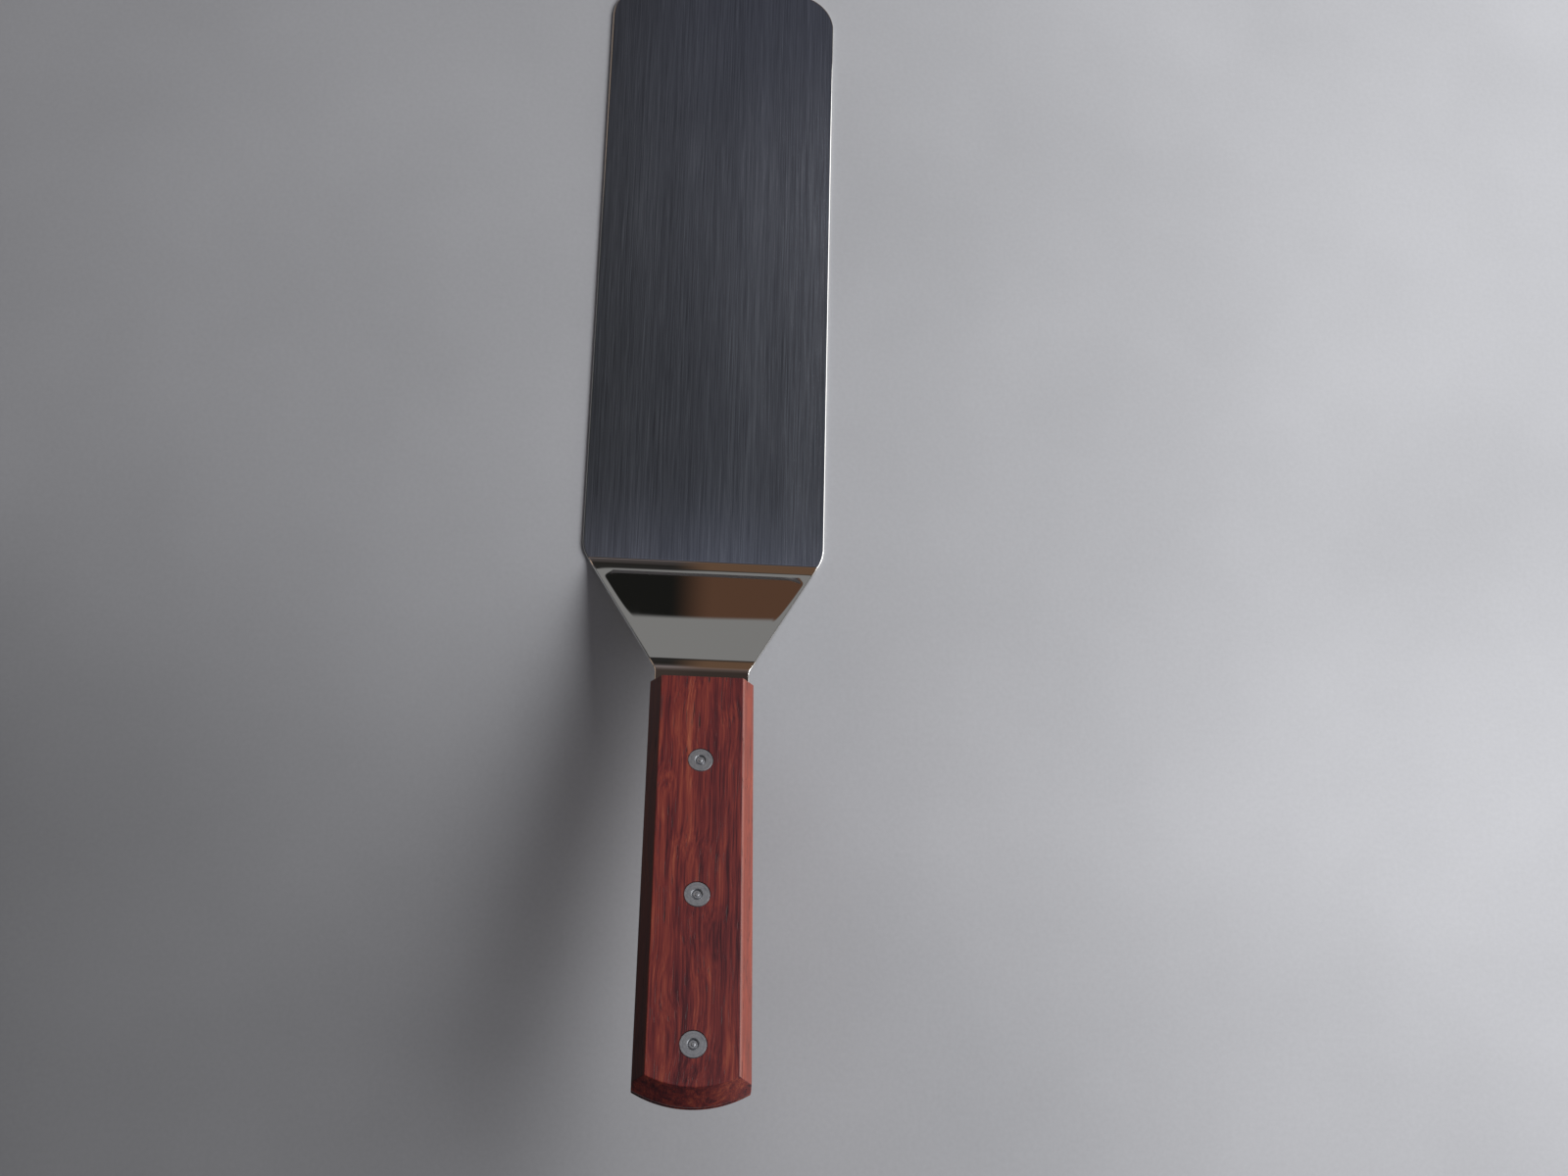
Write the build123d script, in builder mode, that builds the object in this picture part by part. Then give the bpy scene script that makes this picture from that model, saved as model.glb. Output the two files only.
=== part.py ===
"""Offset turner: a pressed steel blade, neck and tang with a riveted two-piece wooden handle.

Millimetres. +Y runs from the handle towards the blade's tip, +X is to the right and +Z is up.
The origin is the middle of the blade's flat underside, so the tool rests on Z = 0.
"""

import os
from math import cos, radians, sin

from build123d import *

os.makedirs("parts", exist_ok=True)

# Steel sheet: blade, neck and tang in one piece
SHEET = 1.2
EDGE_ROUND = 0.45
BLADE_LENGTH = 206.1
BLADE_WIDTH = 76.2
TIP_RADIUS = 13.0
HEEL_LEAD = 2.9  # the outline starts to narrow this far ahead of the heel bend
HEEL_CORNER_RADIUS = 10.0
HEEL_BEND_RADIUS = 0.8  # the bend starts as a tight crease ...
HEEL_CREASE_ANGLE = 24  # ... that turns the sheet this many degrees
HEEL_EASE_OFFSET = 2.8  # then an easy curve, centred this far behind the crease, turns the rest
HEEL_EASE_RADIUS = 20.0
NECK_RUN = 38.7
NECK_RISE = 29.1
SHOULDER_LAG = 2.0  # the outline stops narrowing this far behind the shoulder bend
SHOULDER_CORNER_RADIUS = 4.0
SHOULDER_BEND_RADIUS = 15.5
TANG_WIDTH = 27.5
TANG_TILT = 20.2  # degrees above the blade's plane
TANG_INSET = 1.0  # the tang's end sits this far inside the wood's butt

# Wooden scales, one on each face of the tang
HANDLE_LENGTH = 119.2
HANDLE_WIDTH = 29.5
SCALE_THICKNESS = 6.0
EXPOSED_TANG = 7.5  # shoulder to the front of the wood
CHAMFER_WIDTH = 3.15
CHAMFER_DEPTH = 3.7
BUTT_CHAMFER_WIDTH = 3.4
BUTT_CHAMFER_DEPTH = 5.5
BUTT_RADIUS = 29.5
WOOD_ROUND = 0.4

# Two-piece rivets: a headed barrel from the top and a headed pin from the bottom
RIVET_NAMES = ("front", "middle", "rear")
FIRST_RIVET = 26.8  # from the front of the wood
RIVET_PITCH = 39.3
HEAD_RADIUS = 3.55
HEAD_THICKNESS = 1.1
HEAD_ROUND = 0.25
BARREL_RADIUS = 2.2
PIN_RADIUS = 1.3
BARREL_END_GAP = 0.9  # between the barrel's end and the pin's head
NUB_DEPTH = 0.04  # from the barrel's head down to the nub in the middle of the pin's end
NUB_RADIUS = 0.4
NUB_SLOPE = 0.2
PIN_END_DEPTH = 0.16  # from the barrel's head down to the rest of the pin's end
PIN_END_CHAMFER = 0.3
MOUTH_CHAMFER = 0.25  # countersink in the barrel's head, round the pin's end
CLEARANCE = 0.03
TANG_HOLE_CLEARANCE = 0.15

tip_y = BLADE_LENGTH / 2
heel_y = -BLADE_LENGTH / 2
shoulder_y = heel_y - NECK_RUN
shoulder_z = SHEET + NECK_RISE
tilt = radians(TANG_TILT)
butt = EXPOSED_TANG + HANDLE_LENGTH  # all distances along the tang start at the shoulder

# The tang's upper face: local +Y points forward along the tang, +Z out through the top scale.
tang_top = Plane(
    origin=(0, shoulder_y, shoulder_z), x_dir=(1, 0, 0), z_dir=(0, sin(tilt), cos(tilt))
)
tang_middle = tang_top.offset(-SHEET / 2)
rivet_places = [(0, -EXPOSED_TANG - FIRST_RIVET - i * RIVET_PITCH) for i in range(3)]


def butt_sag(width):
    """How far the butt's arc falls back from its end, at the given width."""
    return BUTT_RADIUS - (BUTT_RADIUS**2 - (width / 2) ** 2) ** 0.5


with BuildPart() as blade_neck_tang:
    # Side view of the sheet: flat blade, rising neck and flatter tang
    tang_length = butt - TANG_INSET
    tang_end_y = shoulder_y - tang_length * cos(tilt)
    tang_end_z = shoulder_z + tang_length * sin(tilt)
    crease = radians(HEEL_CREASE_ANGLE)
    ease_y = heel_y - HEEL_EASE_OFFSET * cos(crease)
    ease_z = SHEET + HEEL_EASE_OFFSET * sin(crease)
    with BuildSketch(Plane.YZ):
        with BuildLine():
            FilletPolyline(
                (tip_y, SHEET),
                (heel_y, SHEET),
                (ease_y, ease_z),
                (shoulder_y, shoulder_z),
                (tang_end_y, tang_end_z),
                radius=[HEEL_BEND_RADIUS, HEEL_EASE_RADIUS, SHOULDER_BEND_RADIUS],
            )
            offset(amount=SHEET, side=Side.LEFT)
        make_face()
    extrude(amount=BLADE_WIDTH / 2, both=True)

    # Plan view: round-cornered blade, tapering neck and a tang that ends in the butt's arc
    right_side = [
        (TANG_WIDTH / 2, tang_end_y + butt_sag(TANG_WIDTH) * cos(tilt)),
        (TANG_WIDTH / 2, shoulder_y - SHOULDER_LAG),
        (BLADE_WIDTH / 2, heel_y + HEEL_LEAD),
        (BLADE_WIDTH / 2, tip_y),
    ]
    left_side = [(-x, y) for x, y in reversed(right_side)]
    with BuildSketch():
        with BuildLine():
            Polyline(right_side, left_side)
            ThreePointArc(right_side[0], (0, tang_end_y), left_side[-1])
        make_face()
        fillet(vertices().group_by(Axis.Y)[3], TIP_RADIUS)
        fillet(vertices().group_by(Axis.Y)[2], HEEL_CORNER_RADIUS)
        fillet(vertices().group_by(Axis.Y)[1], SHOULDER_CORNER_RADIUS)
    extrude(amount=tang_end_z, mode=Mode.INTERSECT)

    # Ground and polished rim, top and bottom
    rim_faces = faces().filter_by(lambda face: abs(face.normal_at().Z) < 0.01)
    rim = rim_faces.edges().filter_by(lambda edge: abs(edge.tangent_at(0).Z) < 0.9)
    fillet(rim, EDGE_ROUND)

    with BuildSketch(tang_top):
        with Locations(rivet_places):
            Circle(BARREL_RADIUS + TANG_HOLE_CLEARANCE)
    extrude(amount=2 * SHEET, both=True, mode=Mode.SUBTRACT)

with BuildPart() as top_handle_scale:
    with BuildSketch(tang_top):
        with BuildLine():
            front_right = (HANDLE_WIDTH / 2, -EXPOSED_TANG)
            front_left = (-HANDLE_WIDTH / 2, -EXPOSED_TANG)
            butt_right = (HANDLE_WIDTH / 2, butt_sag(HANDLE_WIDTH) - butt)
            butt_left = (-HANDLE_WIDTH / 2, butt_sag(HANDLE_WIDTH) - butt)
            Polyline(butt_left, front_left, front_right, butt_right)
            ThreePointArc(butt_left, (0, -butt), butt_right)
        make_face()
    extrude(amount=SCALE_THICKNESS)

    # A deep chamfer round the butt, broad ones along both sides, and softened edges elsewhere
    along = Axis(tang_top.origin, tang_top.y_dir)
    out = Axis(tang_top.origin, tang_top.z_dir)
    outer_face = faces().sort_by(out)[-1]
    butt_edge = outer_face.edges().sort_by(along)[0]
    chamfer(butt_edge, BUTT_CHAMFER_WIDTH, BUTT_CHAMFER_DEPTH, reference=outer_face)
    outer_face = faces().sort_by(out)[-1]
    side_edges = outer_face.edges().sort_by(along)[1:3]
    chamfer(side_edges, CHAMFER_WIDTH, CHAMFER_DEPTH, reference=outer_face)
    inner_edges = faces().sort_by(out)[0].edges()
    fillet(edges() - inner_edges, WOOD_ROUND)

    # Through holes for the barrels, sunk for their heads
    with Locations(tang_top.offset(SCALE_THICKNESS)):
        with Locations(rivet_places):
            CounterBoreHole(
                radius=BARREL_RADIUS + CLEARANCE,
                counter_bore_radius=HEAD_RADIUS + CLEARANCE,
                counter_bore_depth=HEAD_THICKNESS,
            )

with BuildPart() as bottom_handle_scale:
    mirror(top_handle_scale.part, about=tang_middle)


def turned_piece(outline, place):
    """Turn a half outline, given as (radius, height above the tang), about a rivet's axis."""
    section = Plane(origin=tang_top.from_local_coords(place), x_dir=(1, 0, 0), z_dir=-tang_top.y_dir)
    with BuildPart() as piece:
        with BuildSketch(section):
            with BuildLine():
                Polyline(outline, close=True)
            make_face()
        revolve(axis=Axis(section.origin, tang_top.z_dir))
    return piece.part


head_top = SCALE_THICKNESS
head_seat = head_top - HEAD_THICKNESS
pin_head_face = -SHEET - SCALE_THICKNESS
pin_head_seat = pin_head_face + HEAD_THICKNESS
barrel_outline = [
    (PIN_RADIUS + CLEARANCE, pin_head_seat + BARREL_END_GAP),
    (BARREL_RADIUS, pin_head_seat + BARREL_END_GAP),
    (BARREL_RADIUS, head_seat),
    (HEAD_RADIUS, head_seat),
    (HEAD_RADIUS, head_top - HEAD_ROUND),
    (HEAD_RADIUS - HEAD_ROUND, head_top),
    (PIN_RADIUS + CLEARANCE + MOUTH_CHAMFER, head_top),
    (PIN_RADIUS + CLEARANCE, head_top - MOUTH_CHAMFER),
]
pin_outline = [
    (0, pin_head_face),
    (HEAD_RADIUS - HEAD_ROUND, pin_head_face),
    (HEAD_RADIUS, pin_head_face + HEAD_ROUND),
    (HEAD_RADIUS, pin_head_seat),
    (PIN_RADIUS, pin_head_seat),
    (PIN_RADIUS, head_top - PIN_END_DEPTH - PIN_END_CHAMFER),
    (PIN_RADIUS - PIN_END_CHAMFER, head_top - PIN_END_DEPTH),
    (NUB_RADIUS + NUB_SLOPE, head_top - PIN_END_DEPTH),
    (NUB_RADIUS, head_top - NUB_DEPTH),
    (0, head_top - NUB_DEPTH),
]

finished = {
    "blade_neck_tang": blade_neck_tang.part,
    "top_handle_scale": top_handle_scale.part,
    "bottom_handle_scale": bottom_handle_scale.part,
}
for name, place in zip(RIVET_NAMES, rivet_places):
    finished[name + "_rivet_barrel"] = turned_piece(barrel_outline, place)
    finished[name + "_rivet_pin"] = turned_piece(pin_outline, place)

for name, piece in finished.items():
    piece.label = name
    export_step(piece, f"parts/{name}.step")
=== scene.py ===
"""Offset turner on a pale floor: materials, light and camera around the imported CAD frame.

Metres. +Y runs from the handle to the blade's tip, +X is to the right and +Z is up; the origin is
the middle of the blade's flat underside, which rests on the floor at Z = 0.
"""

from math import cos, radians, sin

import bpy
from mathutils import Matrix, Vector


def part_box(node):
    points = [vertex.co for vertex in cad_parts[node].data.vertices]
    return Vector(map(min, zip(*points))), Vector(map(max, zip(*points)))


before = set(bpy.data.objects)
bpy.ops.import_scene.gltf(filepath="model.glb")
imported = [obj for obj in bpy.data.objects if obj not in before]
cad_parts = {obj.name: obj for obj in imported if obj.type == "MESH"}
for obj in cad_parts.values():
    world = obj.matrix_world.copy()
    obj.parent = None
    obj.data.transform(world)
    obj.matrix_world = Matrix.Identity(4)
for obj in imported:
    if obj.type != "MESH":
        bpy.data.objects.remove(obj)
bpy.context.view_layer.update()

MM = 0.001

# The steel sheet, as the CAD holds it
BLADE_WIDTH = 76.2 * MM
HEEL_LEAD = 2.9 * MM
NECK_RUN = 38.7 * MM
TANG_WIDTH = 27.5 * MM
HEEL_BEND_LENGTH = 4.4 * MM
CROWN_MARGIN = 3.2 * MM
CORNER_MARGIN = 12.0 * MM
CORNER_REACH = 4 * MM
CROWN_LEAN = 0.19  # sideways, at the very edge
CROWN_TIP_BACK = 1.6  # up the neck's slope, for each square of the lean
TANG_TILT = radians(20.2)

# The wooden scales
CHAMFER_WIDTH = 3.15 * MM

FLOOR_SIZE = 8.0

# Camera
CAMERA_PLACE = (-11.94 * MM, -229.79 * MM, 469.04 * MM)
CAMERA_TURN = (radians(14.167), radians(-4.926), radians(1.363))
LENS = 35.33
SENSOR = 36.0

# Light
KEY_DISTANCE = 0.68
KEY_ELEVATION = radians(45)
KEY_AZIMUTH = radians(8)  # from +X towards +Y
KEY_SIZE = (0.80, 0.42)
KEY_POWER = 4.2
KEY_COLOUR = (0.985, 0.99, 1.0)

# The dark and brown shape on the horizon that the neck reflects, in degrees from +Y
LOW_SHAPE_AZIMUTH = 3.0
LOW_SHAPE_HALF_WIDTH = 8.0
LOW_SHAPE_HEIGHT = 1.5
LOW_SHAPE_SLOPE = 0.02  # its top falls this much for each degree to the right

tip_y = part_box("blade_neck_tang")[1].y
heel_y = -tip_y
shoulder_y = heel_y - NECK_RUN
tang_normal = Vector((0, sin(TANG_TILT), cos(TANG_TILT)))
tang_backward = Vector((0, -cos(TANG_TILT), sin(TANG_TILT)))
up_the_neck = Vector((0, -0.8, 0.6))


class Graph:
    """A node tree that is built one node at a time; each method returns the new node's output."""

    def __init__(self, tree):
        tree.nodes.clear()
        self.tree = tree

    def add(self, kind, inputs=None, output=0, **settings):
        node = self.tree.nodes.new("ShaderNode" + kind)
        for name, value in settings.items():
            setattr(node, name, value)
        for name, value in (inputs or {}).items():
            if isinstance(value, bpy.types.NodeSocket):
                self.tree.links.new(value, node.inputs[name])
            else:
                node.inputs[name].default_value = value
        return node.outputs[output] if node.outputs else None

    def math(self, operation, *values, clamp=False):
        inputs = dict(enumerate(values))
        return self.add("Math", inputs, operation=operation, use_clamp=clamp)

    def vector(self, operation, *values, output=0):
        inputs = dict(enumerate(values))
        return self.add("VectorMath", inputs, output, operation=operation)

    def scaled(self, vector, factor):
        return self.add("VectorMath", {0: vector, "Scale": factor}, operation="SCALE")

    def split(self, vector):
        node = self.add("SeparateXYZ", {0: vector}).node
        return node.outputs[0], node.outputs[1], node.outputs[2]

    def smooth(self, value, low, high, start=0.0, end=1.0):
        """start below low, end above high and a smooth step between them."""
        inputs = {"Value": value, "From Min": low, "From Max": high, "To Min": start, "To Max": end}
        return self.add("MapRange", inputs, interpolation_type="SMOOTHSTEP")

    def stretch(self, vector, scale, shift=(0, 0, 0)):
        return self.add("Mapping", {"Vector": vector, "Scale": scale, "Location": shift})

    def noise(self, vector, scale, detail=2.0, roughness=0.5):
        inputs = {"Vector": vector, "Scale": scale, "Detail": detail, "Roughness": roughness}
        return self.add("TexNoise", inputs)

    def mix(self, factor, first, second, blend="MIX"):
        node = self.add("Mix", data_type="RGBA", blend_type=blend).node
        for name, value in (("Factor_Float", factor), ("A_Color", first), ("B_Color", second)):
            socket = next(s for s in node.inputs if s.identifier == name)
            if isinstance(value, bpy.types.NodeSocket):
                self.tree.links.new(value, socket)
            elif name == "Factor_Float":
                socket.default_value = value
            else:
                socket.default_value = (*value, 1.0)
        return next(s for s in node.outputs if s.identifier == "Result_Color")

    def ramp(self, factor, stops):
        """A colour ramp from a list of (position, colour)."""
        out = self.add("ValToRGB", {"Fac": factor})
        ramp = out.node.color_ramp
        while len(ramp.elements) < len(stops):
            ramp.elements.new(1.0)
        for element, (position, colour) in zip(ramp.elements, stops):
            element.position = position
            element.color = (*colour, 1.0)
        return out

    def bump(self, height, distance, strength=1.0, normal=None):
        inputs = {"Height": height, "Distance": distance, "Strength": strength}
        if normal is not None:
            inputs["Normal"] = normal
        return self.add("Bump", inputs)

    def principled(self, inputs):
        shader = self.add("BsdfPrincipled", inputs)
        self.add("OutputMaterial", {"Surface": shader})


def new_material(name):
    material = bpy.data.materials.new(name)
    material.use_nodes = True
    return material, Graph(material.node_tree)


def dress(node_name, material):
    """Give a CAD node its material, in place of the plain one."""
    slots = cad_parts[node_name].data.materials
    slots.clear()
    slots.append(material)


def steel_material():
    """One sheet of steel: brushed lengthwise on the blade, mirror polished on the neck and rim."""
    material, g = new_material("brushed_and_polished_steel")
    place = g.add("TexCoord", output="Object")
    x, y, _ = g.split(place)
    normal = g.add("NewGeometry", output="Normal")
    flatness = g.math("ABSOLUTE", g.split(normal)[2])

    # brushed is 1 on the blade's two broad faces and 0 on the rim, the neck and the tang
    ahead_of_heel = g.smooth(y, heel_y, heel_y + 0.4 * MM)
    level = g.smooth(flatness, 0.99, 0.9995)
    brushed = g.math("MULTIPLY", ahead_of_heel, level)

    # Grinding lines run along Y, in broad soft bands and in fine scratches
    bands = g.noise(g.stretch(place, (110, 4, 110)), 1.0, 3.0, 0.55)
    lines = g.noise(g.stretch(place, (2300, 20, 2300)), 1.0, 3.0, 0.75)
    hairs = g.noise(g.stretch(place, (4200, 45, 4200), (3, 7, 1)), 1.0, 2.0, 0.7)
    grind = g.math("ADD", g.math("MULTIPLY", lines, 0.5), g.math("MULTIPLY", hairs, 0.5))
    tone = g.math("ADD", g.math("MULTIPLY", bands, 0.22), g.math("MULTIPLY", grind, 0.78))
    brushed_colour = g.ramp(
        tone,
        [
            (0.36, (0.33, 0.335, 0.355)),
            (0.50, (0.52, 0.53, 0.56)),
            (0.64, (0.74, 0.755, 0.79)),
        ],
    )
    polished_colour = (0.62, 0.615, 0.60)
    colour = g.mix(brushed, polished_colour, brushed_colour)

    smudges = g.noise(place, 60.0, 3.0, 0.6)
    brushed_roughness = g.smooth(grind, 0.3, 0.7, 0.115, 0.145)
    polished_roughness = g.smooth(smudges, 0.45, 0.75, 0.008, 0.02)
    roughness = g.add(
        "Mix",
        {0: brushed, 2: polished_roughness, 3: brushed_roughness},
        data_type="FLOAT",
    )

    # Buffing has crowned the neck a little: its surface falls away towards both slanting sides,
    # and furthest at the two corners behind the heel bend
    neck_half_width = g.add(
        "MapRange",
        {
            "Value": y,
            "From Min": heel_y + HEEL_LEAD,
            "From Max": shoulder_y,
            "To Min": BLADE_WIDTH / 2,
            "To Max": TANG_WIDTH / 2,
        },
    )
    from_side = g.math("SUBTRACT", neck_half_width, g.math("ABSOLUTE", x))
    behind_bend = g.math("SUBTRACT", heel_y - HEEL_BEND_LENGTH, y)
    near_bend = g.math("POWER", g.smooth(behind_bend, CORNER_REACH, -0.5 * MM), 2.0)
    margin = g.math("MULTIPLY_ADD", near_bend, CORNER_MARGIN - CROWN_MARGIN, CROWN_MARGIN)
    near_side = g.math("SUBTRACT", 1.0, g.math("DIVIDE", from_side, margin), clamp=True)
    slope = g.math("POWER", near_side, 2.0)
    on_neck = g.math(
        "MULTIPLY",
        g.smooth(y, heel_y - HEEL_BEND_LENGTH / 2, heel_y - HEEL_BEND_LENGTH),
        g.smooth(y, shoulder_y + 2 * MM, shoulder_y + 4 * MM),
    )
    lean = g.math("MULTIPLY", g.math("MULTIPLY", slope, on_neck), CROWN_LEAN)
    sideways = g.math("MULTIPLY", g.math("SIGN", x), lean)
    tip_back = g.math("MULTIPLY", g.math("MULTIPLY", lean, lean), CROWN_TIP_BACK)
    backward = g.math("MULTIPLY", tip_back, up_the_neck.y)
    upward = g.math("MULTIPLY", tip_back, up_the_neck.z)
    lean_vector = g.add("CombineXYZ", {0: sideways, 1: backward, 2: upward})
    buffed_normal = g.vector("NORMALIZE", g.vector("ADD", normal, lean_vector))
    ridges = g.math("MULTIPLY", grind, brushed)
    final_normal = g.bump(ridges, 0.012 * MM, 1.0, buffed_normal)

    g.principled(
        {
            "Base Color": colour,
            "Metallic": 1.0,
            "Roughness": roughness,
            "Anisotropic": 0.85,
            "Tangent": g.add("Tangent", direction_type="RADIAL", axis="Y"),
            "Normal": final_normal,
        }
    )
    return material


def wood_material(name, slab_shift):
    """Oiled rosewood. slab_shift says where in the log this slab was cut."""
    material, g = new_material(name)
    place = g.add("TexCoord", output="Object")
    place_x = g.split(place)[0]
    flat_half_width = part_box("top_handle_scale")[1].x - CHAMFER_WIDTH
    upright = g.add(
        "Mapping",
        {"Vector": place, "Rotation": (TANG_TILT, 0, 0), "Location": slab_shift},
    )
    x, y, z = g.split(upright)

    # The grain wanders sideways along the handle
    wander = g.noise(g.stretch(upright, (36, 17, 36)), 1.0, 2.0, 0.5)
    sway = g.math("MULTIPLY", g.math("SUBTRACT", wander, 0.5), 11 * MM)
    swayed = g.add("CombineXYZ", {0: g.math("ADD", x, sway), 1: y, 2: g.math("ADD", z, sway)})

    figure = g.noise(g.stretch(swayed, (470, 14, 470)), 1.0, 2.0, 0.5)
    streaks = g.noise(g.stretch(swayed, (1450, 32, 1450), (5, 2, 9)), 1.0, 3.0, 0.65)
    blotches = g.noise(g.stretch(swayed, (90, 14, 90), (1, 4, 2)), 1.0, 2.0, 0.5)
    fibres = g.noise(g.stretch(swayed, (4200, 90, 4200)), 1.0, 2.0, 0.6)
    tone = g.math(
        "ADD",
        g.math("ADD", g.math("MULTIPLY", figure, 0.27), g.math("MULTIPLY", streaks, 0.40)),
        g.math("ADD", g.math("MULTIPLY", blotches, 0.15), g.math("MULTIPLY", fibres, 0.18)),
    )
    colour = g.ramp(
        tone,
        [
            (0.37, (0.036, 0.008, 0.013)),
            (0.44, (0.092, 0.014, 0.018)),
            (0.50, (0.172, 0.022, 0.022)),
            (0.57, (0.275, 0.043, 0.028)),
            (0.66, (0.430, 0.110, 0.055)),
        ],
    )

    # Painted light and shade on the chamfers: a painted sheen along the right chamfer, a painted
    # highlight line at its edge with the flat top, and painted shade along the left chamfer
    painted_sheen = g.smooth(place_x, flat_half_width - 0.1 * MM, flat_half_width + 0.3 * MM)
    painted_shade = g.smooth(place_x, 0.1 * MM - flat_half_width, -0.3 * MM - flat_half_width)
    from_edge = g.math("ABSOLUTE", g.math("SUBTRACT", place_x, flat_half_width + 0.2 * MM))
    painted_edge_highlight = g.smooth(from_edge, 0.5 * MM, 0.1 * MM)
    normal = g.add("NewGeometry", output="Normal")
    facing_back = g.vector("DOT_PRODUCT", normal, tuple(tang_backward), output="Value")
    on_side = g.smooth(facing_back, 0.5, 0.2)
    for mask, amount, tint in (
        (painted_sheen, 0.32, (0.55, 0.15, 0.085)),
        (painted_edge_highlight, 0.38, (0.55, 0.24, 0.19)),
        (painted_shade, 0.65, (0.030, 0.014, 0.008)),
    ):
        share = g.math("MULTIPLY", g.math("MULTIPLY", mask, on_side), amount)
        colour = g.mix(share, colour, tint)

    # Open pores: short dark dashes along the grain
    pores = g.noise(g.stretch(swayed, (2600, 95, 2600), (8, 3, 4)), 1.0, 1.0, 0.5)
    pore = g.smooth(pores, 0.34, 0.26)
    colour = g.mix(g.math("MULTIPLY", pore, 0.75), colour, (0.016, 0.005, 0.006))

    roughness = g.math("ADD", g.smooth(tone, 0.35, 0.65, 0.36, 0.48), g.math("MULTIPLY", pore, 0.2))
    relief = g.math("SUBTRACT", g.math("MULTIPLY", streaks, 0.4), pore)
    g.principled(
        {
            "Base Color": colour,
            "Roughness": roughness,
            "Specular IOR Level": 0.5,
            "Normal": g.bump(relief, 0.05 * MM, 0.6),
        }
    )
    return material


def rivet_material(name, centre):
    """Satin turned metal, with rings round the rivet's own axis through centre."""
    material, g = new_material(name)
    place = g.add("TexCoord", output="Object")
    offset = g.vector("SUBTRACT", place, tuple(centre))
    along = g.vector("DOT_PRODUCT", offset, tuple(tang_normal), output="Value")
    lengthwise = g.scaled(tuple(tang_normal), along)
    radius = g.vector("LENGTH", g.vector("SUBTRACT", offset, lengthwise), output="Value")

    wobble = g.noise(offset, 900.0, 2.0, 0.5)
    rings_at = g.math("ADD", radius, g.math("MULTIPLY", wobble, 0.12 * MM))
    rings = g.noise(g.add("CombineXYZ", {0: rings_at, 1: 0.0, 2: 0.0}), 3800.0, 3.0, 0.7)
    tarnish = g.noise(offset, 700.0, 3.0, 0.6)
    tone = g.math("ADD", g.math("MULTIPLY", rings, 0.5), g.math("MULTIPLY", tarnish, 0.5))
    colour = g.ramp(
        tone,
        [
            (0.32, (0.20, 0.205, 0.22)),
            (0.50, (0.42, 0.43, 0.455)),
            (0.70, (0.68, 0.69, 0.70)),
        ],
    )
    g.principled(
        {
            "Base Color": colour,
            "Metallic": 1.0,
            "Roughness": g.smooth(tone, 0.3, 0.7, 0.52, 0.36),
            "Normal": g.bump(rings, 0.02 * MM, 0.8),
        }
    )
    return material


def floor_material():
    """Pale grey, faintly mottled."""
    material, g = new_material("pale_floor")
    place = g.add("TexCoord", output="Object")
    clouds = g.noise(place, 7.0, 4.0, 0.55)
    flecks = g.noise(place, 700.0, 2.0, 0.6)
    tone = g.math("ADD", g.math("MULTIPLY", clouds, 0.75), g.math("MULTIPLY", flecks, 0.25))
    colour = g.ramp(tone, [(0.30, (0.50, 0.505, 0.525)), (0.70, (0.60, 0.606, 0.630))])

    # Beside the handle the floor carries painted shade on the left and painted light on the right:
    # its colour is multiplied down towards the left and up towards the right
    x, y, _ = g.split(place)
    beside_handle = g.smooth(y, -0.05, -0.20)
    painted_light_and_shade = g.smooth(x, -0.30, 0.22, 0.56, 1.25)
    colour = g.mix(beside_handle, colour, painted_light_and_shade, blend="MULTIPLY")
    g.principled({"Base Color": colour, "Roughness": 0.6, "Specular IOR Level": 0.3})
    return material


def make_floor():
    half = FLOOR_SIZE / 2
    corners = [(-half, -half, 0), (half, -half, 0), (half, half, 0), (-half, half, 0)]
    mesh = bpy.data.meshes.new("floor")
    mesh.from_pydata(corners, [], [(0, 1, 2, 3)])
    floor = bpy.data.objects.new("floor", mesh)
    bpy.context.scene.collection.objects.link(floor)
    mesh.materials.append(floor_material())


def make_key_light():
    """A big soft window-like panel on the right."""
    data = bpy.data.lights.new("key", "AREA")
    data.shape = "RECTANGLE"
    data.size, data.size_y = KEY_SIZE
    data.energy = KEY_POWER
    data.color = KEY_COLOUR
    key = bpy.data.objects.new("key", data)
    bpy.context.scene.collection.objects.link(key)
    direction = Vector(
        (
            cos(KEY_ELEVATION) * cos(KEY_AZIMUTH),
            cos(KEY_ELEVATION) * sin(KEY_AZIMUTH),
            sin(KEY_ELEVATION),
        )
    )
    key.location = direction * KEY_DISTANCE
    key.rotation_euler = direction.to_track_quat("Z", "Y").to_euler()
    key.visible_camera = False


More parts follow.
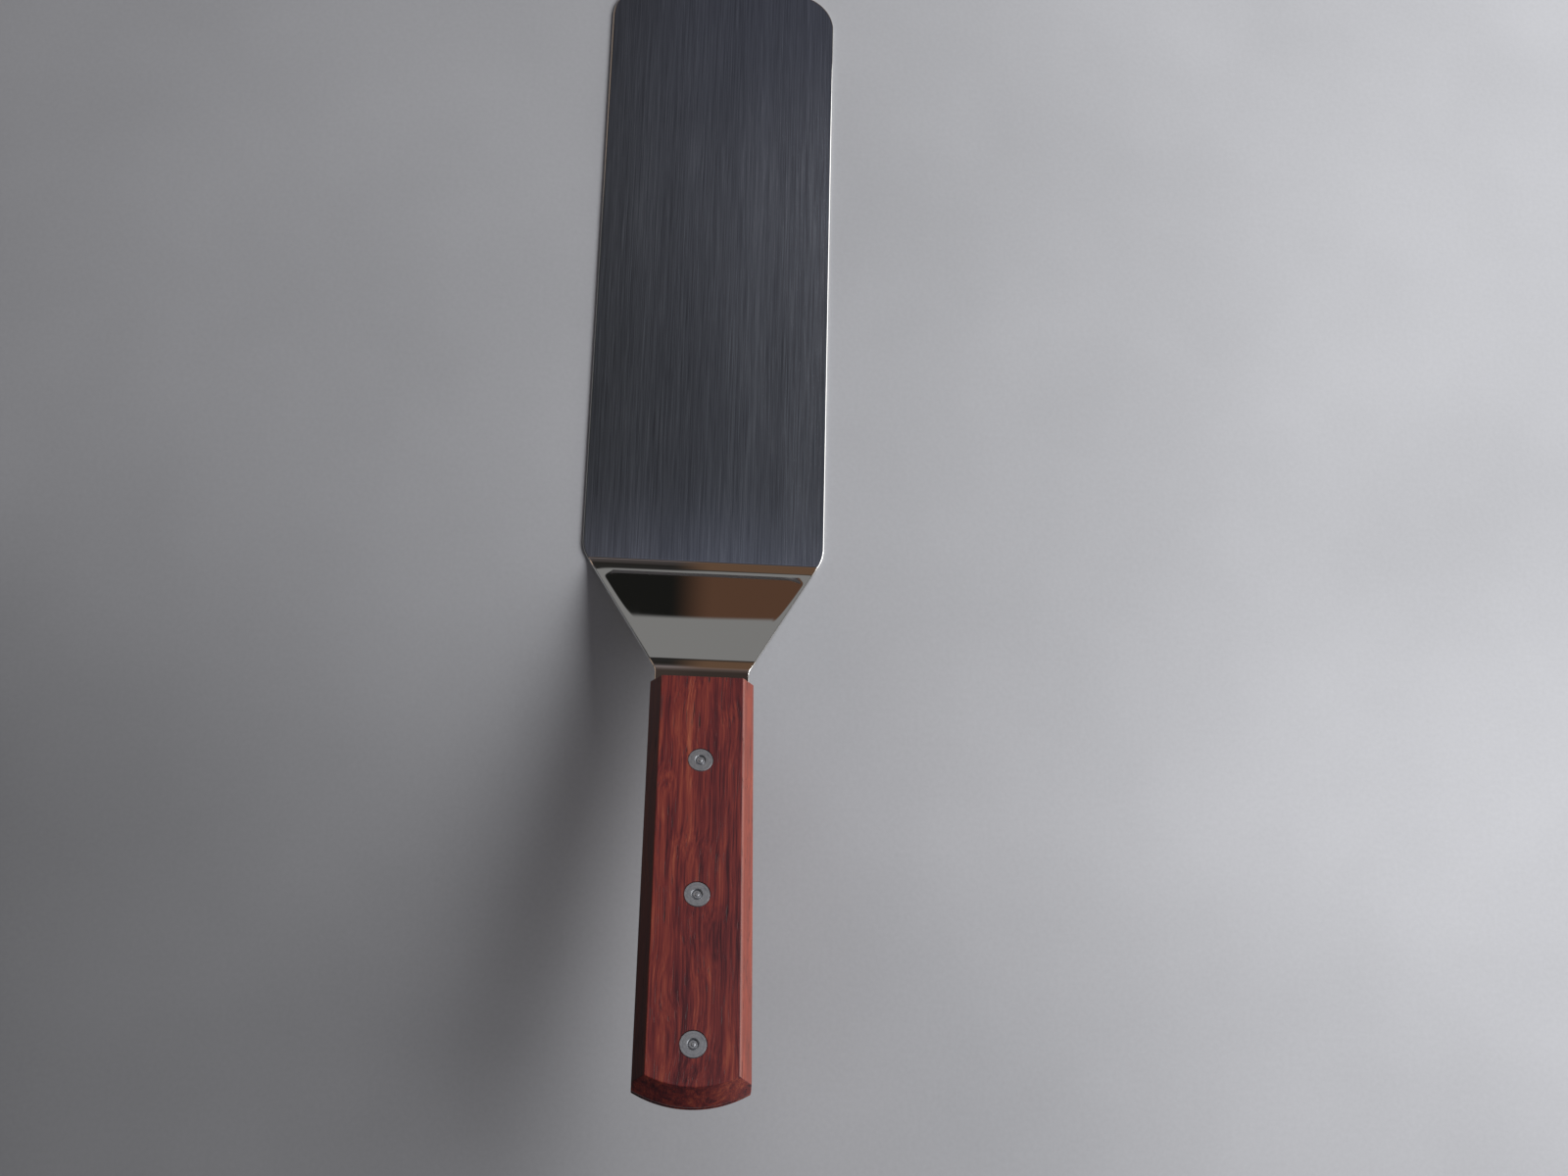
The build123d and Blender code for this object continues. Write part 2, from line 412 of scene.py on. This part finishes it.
def make_surroundings():
    """What the steel reflects: a dim room, with low dark and brown shapes ahead of the blade."""
    world = bpy.data.worlds.new("surroundings")
    world.use_nodes = True
    bpy.context.scene.world = world
    g = Graph(world.node_tree)
    x, y, z = g.split(g.add("TexCoord", output="Generated"))
    elevation = g.math("DEGREES", g.math("ARCSINE", z))
    azimuth = g.math("DEGREES", g.math("ARCTAN2", x, y))

    def by_elevation(stops):
        """A colour ramp from a list of (degrees above the horizon, colour)."""
        height = g.math("DIVIDE", elevation, 90.0)
        return g.ramp(height, [(degrees / 90, colour) for degrees, colour in stops])

    # Ahead of the blade, on its left and on its right
    pale = (0.286, 0.284, 0.282)
    left = by_elevation(
        [
            (7.0, pale),
            (9.0, (0.030, 0.029, 0.028)),
            (18.0, (0.026, 0.024, 0.022)),
            (22.0, (0.090, 0.078, 0.077)),
            (25.0, (0.175, 0.147, 0.148)),
            (29.0, (0.255, 0.215, 0.212)),
            (33.0, (0.140, 0.115, 0.108)),
            (36.0, (0.070, 0.052, 0.045)),
            (42.0, (0.062, 0.047, 0.040)),
        ]
    )
    right = by_elevation(
        [
            (8.0, pale),
            (9.2, (0.045, 0.042, 0.038)),
            (11.5, (0.170, 0.100, 0.062)),
            (25.0, (0.170, 0.100, 0.062)),
            (28.5, (0.215, 0.145, 0.118)),
            (33.0, (0.120, 0.092, 0.082)),
            (37.0, (0.055, 0.040, 0.034)),
            (43.0, (0.055, 0.046, 0.042)),
        ]
    )
    rightwards = g.smooth(azimuth, 0.2, 1.9)
    ahead = g.mix(rightwards, left, right)

    # A low shape on the horizon, dark on its left and brown on its right, with rounded corners
    off_centre = g.math("ABSOLUTE", g.math("SUBTRACT", azimuth, LOW_SHAPE_AZIMUTH))
    past_side = g.math("DIVIDE", off_centre, LOW_SHAPE_HALF_WIDTH)
    above_slope = g.math("MULTIPLY_ADD", azimuth, LOW_SHAPE_SLOPE, elevation)
    past_top = g.math("MAXIMUM", g.math("DIVIDE", above_slope, LOW_SHAPE_HEIGHT), 0.0)
    reach = g.math("ADD", g.math("POWER", past_side, 2.5), g.math("POWER", past_top, 5.0))
    grey_or_brown = g.mix(rightwards, (0.013, 0.013, 0.012), (0.128, 0.066, 0.041))
    ahead = g.mix(g.smooth(reach, 0.75, 1.3), grey_or_brown, ahead)

    # To the left and behind: dim, with a paler strip a little above the horizon
    dim = by_elevation(
        [
            (5.0, (0.020, 0.021, 0.022)),
            (12.0, (0.105, 0.105, 0.108)),
            (24.0, (0.120, 0.120, 0.124)),
            (36.0, (0.020, 0.021, 0.022)),
        ]
    )

    # To the right: a bright strip along the horizon, which stops short of the brown shape
    bright = g.mix(g.smooth(elevation, 8.0, 24.0), (1.5, 1.5, 1.5), (0.10, 0.10, 0.10))
    bright = g.mix(g.smooth(azimuth, 48.0, 54.0), (0.085, 0.062, 0.048), bright)
    sides = g.mix(g.smooth(x, 0.2, 0.9), dim, bright)
    spread = g.math("ABSOLUTE", azimuth)
    room = g.mix(g.smooth(spread, 22.0, 46.0), ahead, sides)

    # A tan shape ahead and to the left, which shows as a thin line in the blade's left rim
    tan = g.smooth(azimuth, -70.0, -62.0)
    for limit in (
        g.smooth(azimuth, -36.0, -44.0),
        g.smooth(elevation, 34.0, 26.0),
        g.smooth(elevation, 8.0, 16.0),
        g.smooth(y, 0.45, 0.51),
    ):
        tan = g.math("MULTIPLY", tan, limit)
    room = g.mix(tan, room, (0.95, 0.66, 0.46))

    # Overhead: darkest where the rear half of the blade reflects it, and bluer on the right
    overhead_left = by_elevation(
        [
            (50.0, (0.050, 0.050, 0.056)),
            (60.0, (0.045, 0.046, 0.049)),
            (67.0, (0.037, 0.038, 0.040)),
            (72.0, (0.042, 0.043, 0.046)),
            (76.0, (0.115, 0.114, 0.131)),
        ]
    )
    overhead_right = by_elevation(
        [
            (50.0, (0.076, 0.080, 0.104)),
            (60.0, (0.086, 0.090, 0.110)),
            (67.0, (0.063, 0.067, 0.080)),
            (72.0, (0.054, 0.058, 0.070)),
            (76.0, (0.138, 0.148, 0.195)),
        ]
    )
    overhead = g.mix(g.smooth(x, -0.05, 0.02), overhead_left, overhead_right)
    room = g.mix(g.smooth(elevation, 42.0, 54.0), room, overhead)

    plain = (0.72, 0.73, 0.75)
    seen = g.mix(g.add("LightPath", output="Is Camera Ray"), room, plain)
    background = g.add("Background", {"Color": seen, "Strength": 1.0})
    g.add("OutputWorld", {"Surface": background})


def make_camera():
    data = bpy.data.cameras.new("camera")
    data.lens = LENS
    data.sensor_width = SENSOR
    data.clip_start = 0.01
    camera = bpy.data.objects.new("camera", data)
    camera.location = CAMERA_PLACE
    camera.rotation_euler = CAMERA_TURN
    bpy.context.scene.collection.objects.link(camera)
    bpy.context.scene.camera = camera


def axis_point(node_name):
    """A point on a turned piece's axis: the middle of its distinct vertices."""
    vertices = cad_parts[node_name].data.vertices
    distinct = {tuple(round(c, 6) for c in vertex.co) for vertex in vertices}
    return sum((Vector(place) for place in distinct), Vector()) / len(distinct)


bpy.context.scene.view_settings.view_transform = "Standard"
make_camera()
make_floor()
make_key_light()
make_surroundings()

dress("blade_neck_tang", steel_material())
dress("top_handle_scale", wood_material("rosewood_top", (0.0, 0.0, 0.0)))
dress("bottom_handle_scale", wood_material("rosewood_bottom", (0.31, 0.17, 0.23)))
for position in ("front", "middle", "rear"):
    head = rivet_material(position + "_rivet_metal", axis_point(position + "_rivet_barrel"))
    dress(position + "_rivet_barrel", head)
    dress(position + "_rivet_pin", head)
